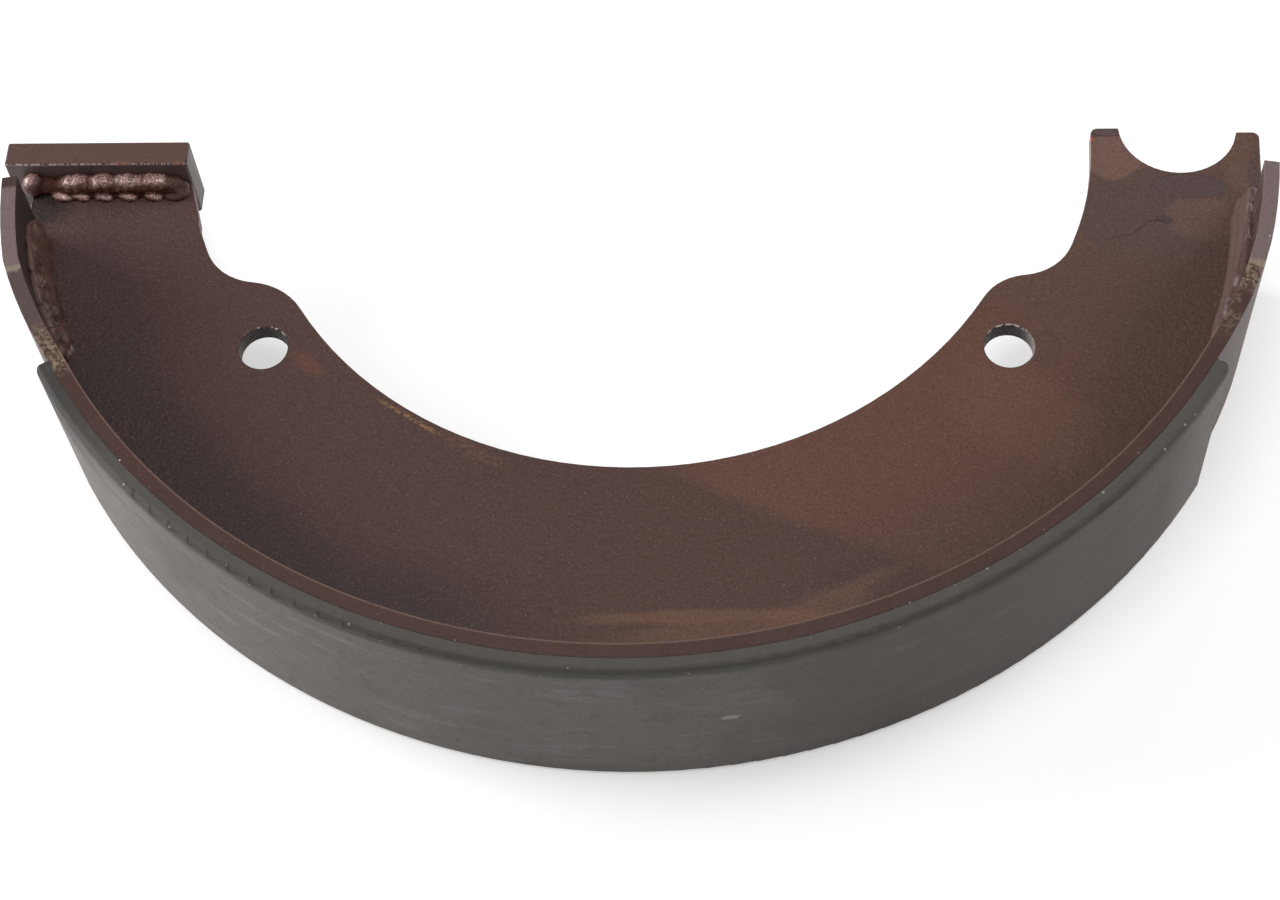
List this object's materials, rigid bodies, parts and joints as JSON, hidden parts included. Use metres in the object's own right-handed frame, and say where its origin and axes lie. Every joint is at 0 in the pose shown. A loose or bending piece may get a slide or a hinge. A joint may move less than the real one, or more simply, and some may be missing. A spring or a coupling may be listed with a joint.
{
  "type": "drum brake shoe",
  "caption": "Welded single-web drum brake shoe with a bonded lining, a wear block for the cam and a half-round heel for the anchor pin.",
  "frame": {"origin": "the drum's axis, in the plane of the side edge that the shoe lies on", "axes": "+Z along the drum's axis; -Y from the axis through the middle of the lining; +X towards the anchor pin notch"},
  "size_m": [0.3446, 0.1795, 0.0585],
  "materials": {
    "painted_steel": "thin brown-black dip paint with an orange-peel surface, rubbed and tide-marked",
    "weld_metal": "weld bead under glossy dark brown paint",
    "friction_lining": "matt grey moulded friction material, lightly scuffed"
  },
  "bodies": {
    "root": {"web": "painted_steel", "rim": "painted_steel", "lining": "friction_lining", "wear_block": "painted_steel", "block_weld_upper": "weld_metal", "block_weld_lower": "weld_metal", "toe_weld_upper": "weld_metal", "toe_weld_lower": "weld_metal", "heel_weld_upper": "weld_metal", "heel_weld_lower": "weld_metal"}
  },
  "joints": []
}
